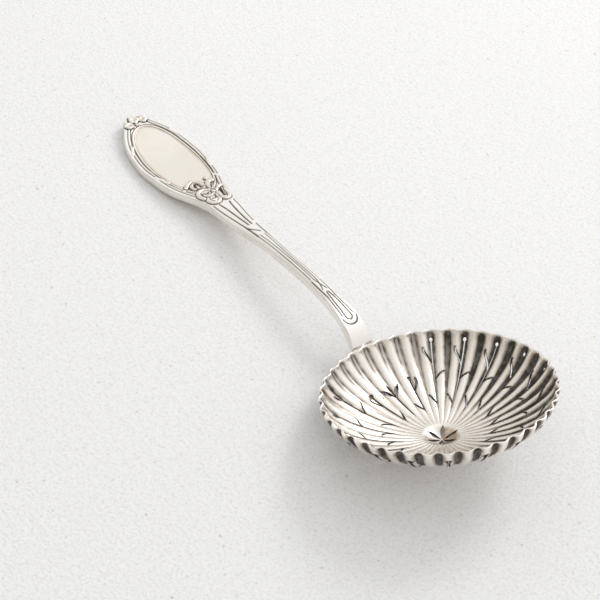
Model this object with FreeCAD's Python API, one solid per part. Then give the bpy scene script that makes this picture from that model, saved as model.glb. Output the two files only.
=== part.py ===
import FreeCAD, Part
import math
import os

# Tea strainer spoon: a fluted and pierced bowl with a cast handle soldered to it.
# Millimetres. It lies on the table at z = 0 as it rests there, with the handle along +X.
# The bowl is drawn upright about its own axis, with the rim at z = 0, and then leaned over.

# Bowl wall
rimRadius = 34.0
bowlDepth = 17.0
wallThickness = 0.8
sidePower = 1.8
basePower = 1.6
# Where its flat bands end, from the rim to the dish: one end lies where the bowl rests
bandShares = [0.0, 0.033, 0.17, 0.32, 0.47, 0.62, 0.81, 1.0]

# Flutes: round lobes outside, channels inside, shallower towards the middle
fluteCount = 40
fluteRise = 1.12
fadePower = 1.4
flatShares = [-1.0, -1.0 / 3.0, 1.0 / 3.0, 1.0]

# Dish in the middle of the bowl, with its star of six leaves
dishRadius = 5.6
dishDepth = 1.8
dishLip = 0.3
dishStep = 0.15
leafCount = 6
leafStart = 0.7
leafEnd = 5.2
leafWidth = 1.1
starTurn = 16.0

# Piercing: every second flute carries one twig
slotWidth = 0.5
slotReach = 1.3
stemDrop = 25.0
holeRadius = 0.65
holeSides = 8
sprigWidth = 1.1
# Each end of a cut: its share of the rim radius, and its angle from the flute's middle
longStemShare = 0.37
longHoleShare = 0.966
longCutShares = [
    [(0.43, 0.2), (0.52, 6.8)],
    [(0.69, -0.4), (0.75, -6.4)],
    [(0.79, 0.3), (0.92, 4.8)],
]
sideStemShare = 0.35
sideHoleShare = 0.72
sideCutShares = [
    [(0.38, 0.2), (0.467, 7.4)],
    [(0.60, -0.4), (0.645, -3.2), (0.70, -4.0)],
]
neckStemShare = 0.345
neckForkShare = 0.59
neckLeafShares = [(0.725, 0.0), (0.705, 7.6), (0.695, -7.0)]

# How the bowl leans towards the handle as the spoon rests
bowlLean = 19.7

# Handle, measured from the rim of the bowl: distance, top height, underside height, half width
neckStations = [
    (3.4, 10.3, 6.4, 3.55),
    (6.6, 11.9, 8.9, 3.4),
    (10.4, 12.7, 10.0, 3.15),
    (17.0, 12.9, 10.4, 2.55),
    (25.0, 12.4, 10.2, 2.38),
    (38.0, 10.9, 9.0, 2.4),
    (50.0, 9.55, 7.75, 3.1),
    (60.0, 8.05, 6.35, 4.0),
    (68.0, 7.3, 5.1, 4.7),
    (77.0, 6.6, 3.9, 5.3),
]
ovalStations = [
    (84.0, 5.3, 2.4, 7.75),
    (91.0, 4.25, 1.2, 10.15),
]
backStart = 98.0
backEnd = 117.0
backRise = 1.2
ovalTops = [(97.0, 3.65), (105.5, 2.95), (114.4, 3.1), (121.3, 3.6)]
ovalWidths = [(97.0, 11.1), (103.0, 11.72), (109.0, 11.4), (115.0, 10.1), (119.0, 8.3), (124.3, 4.2)]
handleEnd = 127.2
handleEndTop = 3.9
# The underside tapers in towards the table by the belly's run over its rise
bellyRise = 1.4
bellyRun = 2.6
bellyMargin = 0.5

# Leaf tip, bow and sunk field of the handle
# Each lobe: place along the handle, place across it, radius
tipLobes = [(123.0, 3.3, 2.3), (126.2, 0.3, 2.6), (123.6, -2.9, 2.4)]
tipTop = 3.7
tipUnder = 1.0
fieldStart = 87.4
fieldEnd = 121.2
fieldWidth = 17.6
fieldSink = 0.35
bowAt = 79.6
bowHeight = 6.15
bowTilt = 12.0
knotRadius = 1.6
knotHeight = 1.1
knotSink = 0.5
petalWidth = 2.4
petalHeight = 0.6
petalWaistShare = 0.65
# Bearing of each petal in degrees and how far it reaches from the knot
petalBearings = [(52.0, 5.2), (-52.0, 5.2), (138.0, 4.6), (-138.0, 4.6)]

# Tongue of the handle that runs down the bowl, and the solder behind it
tongueLength = 4.8
tongueEndThickness = 0.9
tongueWidth = 7.4
neckStartWidth = 4.0
solderGap = 0.25
solderDepth = 1.2
solderEdge = 0.25
solderTopGap = 0.4
seatDepth = 3.0
edgeBevel = 0.3

lobeAngle = 360.0 / fluteCount
sectorAngle = 2 * lobeAngle
rimCrest = rimRadius + fluteRise
clearHeight = 2 * bowlDepth


def flat(points):
    return Part.Face(Part.makePolygon(points + [points[0]]))


# The outer curve of the bowl in the grooves, from the rim (0) to the middle (pi / 2)
def curvePoint(turn):
    radius = rimRadius * math.cos(turn) ** (2 / sidePower)
    height = -bowlDepth * math.sin(turn) ** (2 / basePower)
    return radius, height


def curveNormal(turn):
    radius, height = curvePoint(turn)
    across = sidePower * (radius / rimRadius) ** (sidePower - 1) / rimRadius
    down = basePower * (-height / bowlDepth) ** (basePower - 1) / bowlDepth
    size = math.hypot(across, down)
    return across / size, -down / size


def turnAt(radiusShare):
    return math.acos(radiusShare ** (sidePower / 2))


# Where the bands end along the curve from the rim to the dish
def bandTurns():
    last = turnAt(dishRadius / rimRadius)
    steps = 400
    lengths = [0.0]
    for step in range(steps):
        r1, z1 = curvePoint(last * step / steps)
        r2, z2 = curvePoint(last * (step + 1) / steps)
        lengths.append(lengths[-1] + math.hypot(r2 - r1, z2 - z1))
    turns = []
    for share in bandShares:
        wanted = lengths[-1] * share
        step = min(range(steps + 1), key=lambda i: abs(lengths[i] - wanted))
        turns.append(last * step / steps)
    return turns


# A point of the wall: angle in degrees from the flute's middle, share 0 at the crest and 1 in a groove
def wallPoint(turn, angle, lobeShare, inset, chordShare=1.0):
    radius, height = curvePoint(turn)
    across, up = curveNormal(turn)
    fade = max(0.0, (radius - dishRadius) / (rimRadius - dishRadius)) ** fadePower
    offset = fluteRise * fade * (1 - lobeShare ** 2) - inset
    radius = (radius + offset * across) * chordShare
    bearing = math.radians(angle)
    return FreeCAD.Vector(radius * math.cos(bearing), radius * math.sin(bearing), height + offset * up)


# Columns of one sector: a whole flute in the middle and half a flute at each side
def sectorColumns():
    third = lobeAngle / 3
    top = flatShares[2]
    chordShare = math.cos(math.radians(third / 2))
    columns = [(-lobeAngle, top, chordShare), (-lobeAngle + third / 2, top, 1.0)]
    for share in flatShares:
        columns.append((share * lobeAngle / 2, share, 1.0))
    columns.append((lobeAngle - third / 2, top, 1.0))
    columns.append((lobeAngle, top, chordShare))
    return columns


def sectorSkin(grid, columns):
    faces = []
    for upper, lower in zip(grid[:-1], grid[1:]):
        for k in range(len(columns) - 1):
            a, b, c, d = upper[k], upper[k + 1], lower[k + 1], lower[k]
            if abs(abs(columns[k][1]) - abs(columns[k + 1][1])) < 0.01:
                faces.append(flat([a, b, c, d]))
            elif abs(columns[k][1]) < abs(columns[k + 1][1]):
                faces += [flat([a, b, c]), flat([a, c, d])]
            else:
                faces += [flat([a, b, d]), flat([b, c, d])]
    return faces


# One sector of the wall, two flutes wide
def wallSector(thickness):
    columns = sectorColumns()
    turns = bandTurns()
    outer = [[wallPoint(t, a, s, 0, c) for a, s, c in columns] for t in turns]
    inner = [[wallPoint(t, a, s, thickness, c) for a, s, c in columns] for t in turns]
    faces = sectorSkin(outer, columns) + sectorSkin(inner, columns)
    faces.append(flat(outer[0] + inner[0][::-1]))
    for k in range(len(columns) - 1):
        faces.append(flat([outer[-1][k], outer[-1][k + 1], inner[-1][k + 1], inner[-1][k]]))
    for k in (0, -1):
        faces.append(flat([row[k] for row in outer] + [row[k] for row in inner][::-1]))
    shell = Part.Shell(faces)
    shell.sewShape()
    return Part.Solid(shell)


def middlePoint(radiusShare, angle):
    spot = (angle / lobeAngle + 0.5) % 1.0
    return wallPoint(turnAt(radiusShare), angle, 2 * spot - 1, wallThickness / 2)


def middleNormal(radiusShare, angle):
    across, up = curveNormal(turnAt(radiusShare))
    bearing = math.radians(angle)
    return FreeCAD.Vector(across * math.cos(bearing), across * math.sin(bearing), up)


# A straight cut through the wall between two of its points
def slotTool(start, end):
    p = middlePoint(*start)
    q = middlePoint(*end)
    normal = middleNormal((start[0] + end[0]) / 2, (start[1] + end[1]) / 2)
    side = normal.cross(q - p).normalize() * (slotWidth / 2)
    tail = (q - p).normalize() * (slotWidth / 4)
    corners = [p - side - tail, p + side - tail, q + side + tail, q - side + tail]
    low = normal * slotReach
    return flat([corner - low for corner in corners]).extrude(low * 2)


# A pointed leaf between two points, cut along the normal
def leafPrism(p, q, normal, width, reach):
    side = normal.cross(q - p).normalize() * (width / 2)
    middle = (p + q) / 2
    left = Part.Arc(p, middle + side, q).toShape()
    right = Part.Arc(q, middle - side, p).toShape()
    leaf = Part.Face(Part.Wire([left, right]))
    leaf.translate(normal * -reach)
    return leaf.extrude(normal * (2 * reach))


def leafTool(start, end):
    normal = middleNormal((start[0] + end[0]) / 2, (start[1] + end[1]) / 2)
    return leafPrism(middlePoint(*start), middlePoint(*end), normal, sprigWidth, slotReach)


# The stem is a thin upright fin from its root outwards, below its upper end
def stemTool(rootShare, topShare):
    root = rootShare * rimRadius
    top = middlePoint(topShare, 0).z
    corner = FreeCAD.Vector(root, -slotWidth / 2, top - stemDrop)
    return Part.makeBox(rimCrest - root + slotReach, slotWidth, stemDrop, corner)


def holeTool(radiusShare):
    normal = middleNormal(radiusShare, 0)
    centre = middlePoint(radiusShare, 0) - normal * slotReach
    across = FreeCAD.Vector(0, 1, 0)
    up = normal.cross(across)
    corners = []
    for side in range(holeSides):
        angle = 2 * math.pi * (side + 0.5) / holeSides
        corners.append(centre + (across * math.cos(angle) + up * math.sin(angle)) * holeRadius)
    return flat(corners).extrude(normal * (2 * slotReach))


def cutTools(cutShares, handed):
    tools = []
    for line in cutShares:
        spots = [(share, angle * handed) for share, angle in line]
        for start, end in zip(spots[:-1], spots[1:]):
            tools.append(slotTool(start, end))
    return tools


def longTwig():
    tools = [stemTool(longStemShare, longHoleShare), holeTool(longHoleShare)]
    return tools + cutTools(longCutShares, 1)


def sideTwig(handed):
    tools = [stemTool(sideStemShare, sideHoleShare), holeTool(sideHoleShare)]
    return tools + cutTools(sideCutShares, handed)


def neckSprig():
    tools = [stemTool(neckStemShare, neckForkShare)]
    for leafShare, angle in neckLeafShares:
        tools.append(leafTool((neckForkShare, 0), (leafShare, angle)))
    return tools


# Faces of a pierced sector without the two that its neighbours share
def openFaces(sector):
    kept = []
    for face in sector.Faces:
        shared = False
        for angle in (-lobeAngle, lobeAngle):
            bearing = math.radians(angle)
            across = FreeCAD.Vector(-math.sin(bearing), math.cos(bearing), 0)
            if all(abs(vertex.Point.dot(across)) < 1e-5 for vertex in face.Vertexes):
                shared = True
        if not shared:
            kept.append(face)
    return kept


# The whole fluted wall, its sectors joined into one shell
def fluteWall():
    plain = wallSector(wallThickness)
    twigs = {}
    for name, tools in (
        ("long", longTwig()),
        ("left", sideTwig(1)),
        ("right", sideTwig(-1)),
        ("neck", neckSprig()),
    ):
        twigs[name] = openFaces(plain.cut(Part.makeCompound(tools)))
    sectors = int(fluteCount / 2)
    faces = []
    for k in range(sectors):
        name = {0: "neck", 1: "right", sectors - 1: "left"}.get(k, "long")
        for face in twigs[name]:
            copy = face.copy()
            copy.rotate(FreeCAD.Vector(0, 0, 0), FreeCAD.Vector(0, 0, 1), k * sectorAngle)
            faces.append(copy)
    shell = Part.Shell(faces)
    shell.sewShape()
    return Part.Solid(shell)


def dishCentre():
    sphere = (dishRadius ** 2 + dishDepth ** 2) / (2 * dishDepth)
    edge = curvePoint(turnAt(dishRadius / rimRadius))[1]
    return sphere, edge - dishDepth + sphere


# The dish: a spherical cap with a lip that sits in the wall's inner end
def dish():
    sphere, centre = dishCentre()
    inner = wallPoint(turnAt(dishRadius / rimRadius), 0, 1, wallThickness).z - dishStep
    middle = FreeCAD.Vector(0, 0, centre)
    cap = Part.makeSphere(sphere, middle).cut(Part.makeSphere(sphere - wallThickness, middle))
    bottom = FreeCAD.Vector(0, 0, centre - 2 * sphere)
    disc = Part.makeCylinder(dishRadius + dishLip, inner - bottom.z, bottom)
    return cap.common(disc)


def starTools():
    sphere, centre = dishCentre()
    tools = []
    up = FreeCAD.Vector(0, 0, 1)
    level = centre - sphere
    for k in range(leafCount):
        bearing = math.radians(starTurn + k * 360 / leafCount)
        out = FreeCAD.Vector(math.cos(bearing), math.sin(bearing), 0)
        base = FreeCAD.Vector(0, 0, level)
        tools.append(leafPrism(base + out * leafStart, base + out * leafEnd, up, leafWidth, dishDepth * 2))
    return tools


# Lowest point of the leaned wall, which the bowl rests on
def restDrop():
    lean = math.radians(bowlLean)
    corner = math.radians(lobeAngle / 6)
    heights = []
    for turn in bandTurns():
        point = wallPoint(turn, 0, flatShares[2], 0, math.cos(corner))
        heights.append(point.z * math.cos(lean) - point.x * math.sin(lean))
    sphere, centre = dishCentre()
    heights.append(centre * math.cos(lean) - sphere)
    return -min(heights)


# Shift along the spoon that puts the middle of its whole length at x = 0
def middleShift():
    lean = math.radians(bowlLean)
    corner = math.radians(lobeAngle / 6)
    reaches = []
    for turn in bandTurns():
        point = wallPoint(turn, 0, flatShares[2], 0, math.cos(corner))
        reaches.append(point.x * math.cos(lean) - point.z * math.sin(lean))
    x, y, radius = tipLobes[1]
    return (max(reaches) - rimEdge() - x - radius) / 2


# Puts a shape drawn upright where it rests on the table
def leaned(shape):
    moved = shape.copy()
    moved.rotate(FreeCAD.Vector(0, 0, 0), FreeCAD.Vector(0, 1, 0), bowlLean)
    moved.translate(FreeCAD.Vector(0, 0, restDrop()))
    return moved


def leanedPoint(point):
    lean = math.radians(bowlLean)
    x = point.x * math.cos(lean) + point.z * math.sin(lean)
    z = point.z * math.cos(lean) - point.x * math.sin(lean)
    return FreeCAD.Vector(x, 0, z + restDrop())


# Place of the rim's crest on the handle's side, where the handle is measured from
def rimEdge():
    return leanedPoint(wallPoint(0, 0, flatShares[2], 0)).x


# The same place seen from the handle
def fromRim(point):
    return leanedPoint(point) - FreeCAD.Vector(rimEdge(), 0, 0)


def bowl():
    body = fluteWall().fuse(dish())
    body = body.cut(Part.makeCompound(starTools()))
    return leaned(body)


# Points down the crest of the flute under the handle, a given distance outside it
def crestLine(gap, length):
    points = []
    steps = 4
    turn = 0.0
    walked = 0.0
    last = wallPoint(0, 0, flatShares[2], -gap)
    points.append(last)
    while walked < length:
        turn += 0.02
        point = wallPoint(turn, 0, flatShares[2], -gap)
        walked += (point - last).Length
        points.append(point)
        last = point
    last = len(points) - 1
    return [points[round(last * step / steps)] for step in range(steps + 1)]


def curveEdge(points):
    curve = Part.BSplineCurve()
    curve.interpolate(points)
    return curve.toShape()


# The line of the handle's top, lowered by the sink
def topCurve(sink):
    start = fromRim(wallPoint(0, 0, flatShares[2], -solderGap))
    tops = [(start.x, start.z)]
    tops += [(x, top) for x, top, under, half in neckStations + ovalStations]
    tops += ovalTops + [(handleEnd, handleEndTop)]
    return curveEdge([FreeCAD.Vector(x, 0, z - sink) for x, z in tops])


# The handle seen from the side, from the tongue on the bowl to the tip
def sideBand():
    back = [fromRim(p) for p in crestLine(solderGap, tongueLength)]
    lean = math.radians(bowlLean)
    toe = back[-1] + FreeCAD.Vector(math.cos(lean), 0, -math.sin(lean)) * tongueEndThickness
    unders = [(toe.x, toe.z)]
    unders += [(x, under) for x, top, under, half in neckStations + ovalStations]
    unders.append((backStart, 0))
    top = topCurve(0)
    tip = top.lastVertex().Point
    tipLow = FreeCAD.Vector(tip.x, 0, backRise)
    restStart = FreeCAD.Vector(backStart, 0, 0)
    restEnd = FreeCAD.Vector(backEnd, 0, 0)
    edges = [top, Part.makeLine(tip, tipLow), Part.makeLine(tipLow, restEnd)]
    edges += [Part.makeLine(restEnd, restStart), Part.makeLine(toe, back[-1])]
    edges.append(curveEdge([FreeCAD.Vector(x, 0, z) for x, z in unders]))
    for a, b in zip(back[:-1], back[1:]):
        edges.append(Part.makeLine(a, b))
    return Part.Face(Part.Wire(Part.__sortEdges__(edges)))


# The handle's outline from above at a given height, wider by the margin, or narrower
def planWire(margin, height):
    ends = max(margin, 0)
    root = fromRim(crestLine(solderGap, tongueLength)[-1]).x - slotReach
    widths = [(root - ends, tongueWidth / 2), (0.0, neckStartWidth)]
    widths += [(x, half) for x, top, under, half in neckStations + ovalStations]
    widths += ovalWidths[:-1]
    lastX, lastHalf = ovalWidths[-1]
    widths.append((lastX + ends, lastHalf))
    left = [FreeCAD.Vector(x, half + margin, height) for x, half in widths]
    right = [FreeCAD.Vector(x, -half - margin, height) for x, half in widths]
    edges = [Part.makeLine(right[0], left[0]), curveEdge(left)]
    edges += [Part.makeLine(left[-1], right[-1]), curveEdge(right)]
    return Part.Wire(Part.__sortEdges__(edges))


# A block round the handle whose lower part tapers in, which gives the oval its belly
def bellyBlock():
    wires = [planWire(-bellyRun, 0), planWire(bellyMargin, bellyRise), planWire(bellyMargin, clearHeight)]
    return Part.makeLoft(wires, True, True)


maxWidth = 4 * fieldWidth


# Takes the sharp corner off the edges that run along the handle
def bevelled(blank):
    edges = []
    for edge in blank.Edges:
        box = edge.BoundBox
        if box.YMin * box.YMax > 0 and box.XLength > edgeBevel / 4:
            edges.append(edge)
    return blank.makeChamfer(edgeBevel, edges)


# What lies above the handle's top once it is lowered by the sink of the field
def fieldCutter():
    low = topCurve(fieldSink)
    start = low.firstVertex().Point
    end = low.lastVertex().Point
    raised = FreeCAD.Vector(0, 0, clearHeight)
    edges = [low, Part.makeLine(end, end + raised), Part.makeLine(end + raised, start + raised)]
    edges.append(Part.makeLine(start + raised, start))
    above = Part.Face(Part.Wire(Part.__sortEdges__(edges)))
    above.translate(FreeCAD.Vector(0, -maxWidth / 2, 0))
    above = above.extrude(FreeCAD.Vector(0, maxWidth, 0))
    centre = FreeCAD.Vector((fieldStart + fieldEnd) / 2, 0, 0)
    ellipse = Part.Ellipse(centre, (fieldEnd - fieldStart) / 2, fieldWidth / 2)
    outline = Part.Face(Part.Wire([ellipse.toShape()]))
    return outline.extrude(FreeCAD.Vector(0, 0, clearHeight)).common(above)


# Three leaf lobes that close the tip
def leafTip():
    lobes = []
    for x, y, radius in tipLobes:
        base = FreeCAD.Vector(x, y, tipUnder)
        lobes.append(Part.makeCylinder(radius, tipTop - tipUnder, base))
    return lobes


# The bow: a round knot with four petals, laid on the slope of the handle
def bow():
    up = FreeCAD.Vector(0, 0, 1)
    foot = FreeCAD.Vector(0, 0, -knotSink)
    shape = Part.makeCylinder(knotRadius, knotHeight + knotSink, foot)
    for bearing, reach in petalBearings:
        angle = math.radians(bearing)
        out = FreeCAD.Vector(math.cos(angle), math.sin(angle), 0)
        side = FreeCAD.Vector(-math.sin(angle), math.cos(angle), 0) * (petalWidth / 2)
        waist = out * (reach * petalWaistShare)
        corners = [foot, foot + waist + side, foot + out * reach, foot + waist - side]
        shape = shape.fuse(flat(corners).extrude(up * (petalHeight + knotSink)))
    shape.rotate(FreeCAD.Vector(0, 0, 0), FreeCAD.Vector(0, 1, 0), bowTilt)
    shape.translate(FreeCAD.Vector(bowAt, 0, bowHeight))
    return shape


def handle():
    band = sideBand()
    band.translate(FreeCAD.Vector(0, -maxWidth / 2, 0))
    band = band.extrude(FreeCAD.Vector(0, maxWidth, 0))
    plan = Part.Face(planWire(0, 0)).extrude(FreeCAD.Vector(0, 0, clearHeight))
    body = bevelled(band.common(plan))
    body = body.common(bellyBlock()).cut(fieldCutter())
    for piece in leafTip() + [bow()]:
        body = body.fuse(piece)
    body.translate(FreeCAD.Vector(rimEdge(), 0, 0))
    return body


# Solder between the flat back of the tongue and the round flutes
def solderJoint():
    outer = crestLine(solderGap, tongueLength)
    outer.append(crestLine(solderGap, tongueLength + solderEdge)[-1])
    inner = [p - FreeCAD.Vector(solderDepth + solderGap, 0, 0) for p in outer]
    width = tongueWidth + 2 * solderEdge
    face = flat(outer + inner[::-1])
    face.translate(FreeCAD.Vector(0, -width / 2, 0))
    slab = face.extrude(FreeCAD.Vector(0, width, 0))
    corner = FreeCAD.Vector(0, -rimCrest, -solderTopGap)
    above = Part.makeBox(2 * rimCrest, 2 * rimCrest, rimCrest, corner)
    return leaned(slab.cut(wallSector(seatDepth)).cut(above))


os.makedirs("parts", exist_ok=True)
for name, make in (("bowl", bowl), ("handle", handle), ("solder_joint", solderJoint)):
    shape = make()
    shape.translate(FreeCAD.Vector(middleShift(), 0, 0))
    print(name, shape.isValid(), round(shape.Volume, 2), len(shape.Solids), len(shape.Faces), shape.BoundBox)
    shape.exportStep("parts/" + name + ".step")
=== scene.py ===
import bpy
import bmesh
import math
import numpy as np
from mathutils import Matrix, Vector
from mathutils.geometry import delaunay_2d_cdt


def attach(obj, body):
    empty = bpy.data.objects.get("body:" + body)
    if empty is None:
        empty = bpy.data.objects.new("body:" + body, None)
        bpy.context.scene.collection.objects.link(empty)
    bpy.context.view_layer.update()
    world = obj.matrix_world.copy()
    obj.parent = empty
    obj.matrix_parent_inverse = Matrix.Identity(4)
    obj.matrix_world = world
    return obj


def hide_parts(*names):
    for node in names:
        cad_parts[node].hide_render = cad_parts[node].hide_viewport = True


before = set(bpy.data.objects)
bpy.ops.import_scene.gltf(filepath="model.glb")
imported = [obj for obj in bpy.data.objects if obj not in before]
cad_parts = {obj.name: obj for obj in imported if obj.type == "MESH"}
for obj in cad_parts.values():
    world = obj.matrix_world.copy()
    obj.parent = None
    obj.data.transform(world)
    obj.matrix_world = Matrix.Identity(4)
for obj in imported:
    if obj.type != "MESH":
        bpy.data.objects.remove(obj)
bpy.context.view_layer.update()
print("frame loaded")

# Sizes are in millimetres and angles in degrees, apart from the floor, the light and the camera
spoon = {
    "middleShift": -64.3085,   # the middle of the rim, along the spoon
    "rimHeight": 18.99,        # and up from the table
    "rimEdge": 32.9473,        # from there to the crest of the rim on the handle side
    "lean": 19.7,
}
millimetre = 0.001             # in Blender's metres
touching = 1e-6                # closer than this, two places are one
farAway = 1e3

bowlSizes = {
    "rimRadius": 34.0,
    "depth": 17.0,
    "sidePower": 1.8,
    "basePower": 1.6,
    "wall": 0.68,
    "rise": 0.96,          # how far a flute stands out at the rim
    "lobePower": 0.9,
    "fadePower": 1.4,
    "fineRise": 0.1,       # ribs that run on to the dish
    "fineFade": (9.0, 17.0),
    "flutes": 40,
    "dishRadius": 5.6,
    "dishDepth": 1.8,
    "rows": 60,
    "columns": 28,
    "rimSteps": 5,         # of the rounded edge of the rim
    "cutSpacing": 0.55,
    "clearOfCuts": 0.13,
    "clearOfStar": 0.08,
    "dishSpacing": 0.35,
}


def addObject(name, data):
    piece = bpy.data.objects.new(name, data)
    bpy.context.scene.collection.objects.link(piece)
    return piece


# Grime and painted shade are kept on each point: red for black tarnish and painted shade, green for the
# brown film and painted shade, blue for rubbed metal
def makeObject(name, points, faces, grimeAndShade, sharpAngle):
    mesh = bpy.data.meshes.new(name)
    corners = [tuple(p * millimetre) for p in points]
    mesh.from_pydata(corners, [], [tuple(int(i) for i in f) for f in faces])
    mesh.update()
    layer = mesh.color_attributes.new("grimeAndShade", "FLOAT_COLOR", "POINT")
    values = np.ones((len(points), 4), dtype=np.float32)
    values[:, :3] = np.clip(grimeAndShade, 0, 1)
    layer.data.foreach_set("color", values.ravel())
    tidy = bmesh.new()
    tidy.from_mesh(mesh)
    bmesh.ops.remove_doubles(tidy, verts=tidy.verts, dist=2e-6)
    loose = [v for v in tidy.verts if not v.link_faces]
    bmesh.ops.delete(tidy, geom=loose, context="VERTS")
    bmesh.ops.recalc_face_normals(tidy, faces=tidy.faces)
    tidy.to_mesh(mesh)
    tidy.free()
    mesh.shade_smooth()
    mesh.set_sharp_from_angle(angle=math.radians(sharpAngle))
    return addObject(name, mesh)


def smoothStep(low, high, value):
    t = np.clip((value - low) / (high - low), 0, 1)
    return t * t * (3 - 2 * t)


def bump(distance, width):
    return np.exp(-(distance / width) ** 2)


# Distance walked along a line of points
def walkAlong(points):
    return np.r_[0, np.cumsum(np.linalg.norm(np.diff(points, axis=0), axis=1))]


# A smooth line through a few points
def smoothLine(points, count):
    pts = np.array(points, dtype=float)
    steps = walkAlong(pts)
    size = len(pts)
    matrix = np.zeros((size, size))
    side = np.zeros((size, 2))
    matrix[0, 0] = matrix[-1, -1] = 1
    for i in range(1, size - 1):
        before, after = steps[i] - steps[i - 1], steps[i + 1] - steps[i]
        matrix[i, i - 1], matrix[i, i], matrix[i, i + 1] = before, 2 * (before + after), after
        side[i] = 6 * ((pts[i + 1] - pts[i]) / after - (pts[i] - pts[i - 1]) / before)
    bend = np.linalg.solve(matrix, side)
    out = []
    for t in np.linspace(0, steps[-1], count):
        i = min(max(int(np.searchsorted(steps, t)) - 1, 0), size - 2)
        h = steps[i + 1] - steps[i]
        a, b = (steps[i + 1] - t) / h, (t - steps[i]) / h
        bent = (a ** 3 - a) * bend[i] + (b ** 3 - b) * bend[i + 1]
        out.append(a * pts[i] + b * pts[i + 1] + bent * h * h / 6)
    return np.array(out)


# Distance from each place to the nearest of the straight runs between the points
def distanceToRuns(x, y, points):
    best = np.full(x.shape, farAway)
    for a, c in zip(points[:-1], points[1:]):
        span = c - a
        t = np.clip(((x - a[0]) * span[0] + (y - a[1]) * span[1]) / max(span @ span, 1e-9), 0, 1)
        best = np.minimum(best, np.hypot(x - a[0] - t * span[0], y - a[1] - t * span[1]))
    return best


# Squares between rows of points, each row closed on itself
def ringFaces(rowCount, size, first=0):
    faces = []
    for i in range(rowCount - 1):
        for j in range(size):
            a, c = first + i * size + j, first + i * size + (j + 1) % size
            faces.append((a, c, c + size, a + size))
    return faces


# From the bowl's own frame, rim at height 0, to where it lies on the table
def leanBowl(points):
    lean = math.radians(spoon["lean"])
    out = np.empty_like(points)
    out[:, 0] = points[:, 0] * math.cos(lean) + points[:, 2] * math.sin(lean) + spoon["middleShift"]
    out[:, 1] = points[:, 1]
    out[:, 2] = points[:, 2] * math.cos(lean) - points[:, 0] * math.sin(lean) + spoon["rimHeight"]
    return out


# Radius and height along the wall, by the distance walked down from the rim
def wallCurve():
    b = bowlSizes
    last = math.acos((b["dishRadius"] / b["rimRadius"]) ** (b["sidePower"] / 2))
    turn = np.linspace(0, last, 3000)
    radius = b["rimRadius"] * np.cos(turn) ** (2 / b["sidePower"])
    height = -b["depth"] * np.sin(turn) ** (2 / b["basePower"])
    walked = np.r_[0, np.cumsum(np.hypot(np.diff(radius), np.diff(height)))]
    return walked, radius, height


wallWalked, wallRadius, wallHeight = wallCurve()
wallLength = wallWalked[-1]


def walkedAt(share):
    return float(np.interp(-share * bowlSizes["rimRadius"], -wallRadius, wallWalked))


# The middle of the sheet: angle in degrees from a flute's crest, distance from the rim
def sheetMiddle(angle, walked):
    b = bowlSizes
    walked = np.clip(walked, 0, wallLength)
    radius = np.interp(walked, wallWalked, wallRadius)
    height = np.interp(walked, wallWalked, wallHeight)
    across = b["sidePower"] * (radius / b["rimRadius"]) ** (b["sidePower"] - 1) / b["rimRadius"]
    down = b["basePower"] * (-height / b["depth"]) ** (b["basePower"] - 1) / b["depth"]
    size = np.hypot(across, down)
    fade = np.clip((radius - b["dishRadius"]) / (b["rimRadius"] - b["dishRadius"]), 0, 1) ** b["fadePower"]
    fine = smoothStep(0, 1.5, radius - b["dishRadius"]) * (1 - smoothStep(*b["fineFade"], radius))
    wave = (0.5 + 0.5 * np.cos(np.radians(angle * b["flutes"]))) ** b["lobePower"]
    offset = (b["rise"] * fade + b["fineRise"] * fine) * wave - b["wall"] / 2
    radius = radius + offset * across / size
    height = height - offset * down / size
    bearing = np.radians(angle)
    return np.stack([radius * np.cos(bearing), radius * np.sin(bearing), height], axis=1)


# Direction out of the sheet and up it, from small steps along both ways
def sheetDirections(angle, walked):
    step, turn = 0.02, 0.05
    low = np.clip(walked - step, 0, wallLength)
    high = np.clip(walked + step, 0, wallLength)
    up = sheetMiddle(angle, low) - sheetMiddle(angle, high)
    side = sheetMiddle(angle + turn, walked) - sheetMiddle(angle - turn, walked)
    out = np.cross(side, up)
    out /= np.linalg.norm(out, axis=1)[:, None]
    up /= np.linalg.norm(up, axis=1)[:, None]
    return out, up


# Twigs sawn through every second flute. Each line: share of the rim radius, degrees from the
# flute's middle, width of the cut.
twigs = {
    "long": {
        "lines": [
            [(0.37, 0.0, 0.12), (0.42, 0.0, 0.42), (0.6, 0.1, 0.45), (0.8, 0.2, 0.45), (0.967, 0.0, 0.42)],
            [(0.415, 0.1, 0.3), (0.46, 3.2, 0.42), (0.525, 6.9, 0.3)],
            [(0.66, 0.1, 0.2), (0.70, -2.6, 0.38), (0.735, -5.6, 0.38), (0.748, -7.0, 0.2)],
            [(0.79, 0.2, 0.3), (0.85, 2.3, 0.42), (0.90, 4.6, 0.42), (0.925, 5.0, 0.3)],
        ],
        "holes": [(0.967, 0.0, 0.62)],
        "leaves": [],
    },
    "side": {
        "lines": [
            [(0.35, 0.3, 0.12), (0.40, 0.3, 0.42), (0.56, 0.5, 0.45), (0.71, 0.8, 0.45)],
            [(0.365, 0.4, 0.3), (0.41, 4.2, 0.42), (0.47, 7.6, 0.25)],
            [(0.595, 0.4, 0.3), (0.64, -2.9, 0.5), (0.69, -3.9, 0.45), (0.71, -3.7, 0.25)],
        ],
        "holes": [(0.72, 0.9, 0.66)],
        "leaves": [],
    },
    "neck": {
        "lines": [[(0.344, 0.4, 0.12), (0.40, 0.5, 0.45), (0.60, 0.7, 0.5)]],
        "holes": [],
        "leaves": [
            [(0.585, 0.7), (0.735, 0.8), 0.95],
            [(0.585, 0.7), (0.715, 8.2), 1.0],
            [(0.585, 0.7), (0.705, -7.0), 0.95],
        ],
    },
}
flatScale = 20.0           # the wall is laid out flat at this radius to be cut


def flatPoint(share, degrees):
    return np.array([math.radians(degrees) * flatScale, walkedAt(share)])


def stretchAt(walked):
    return flatScale / float(np.interp(walked, wallWalked, wallRadius))


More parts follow.
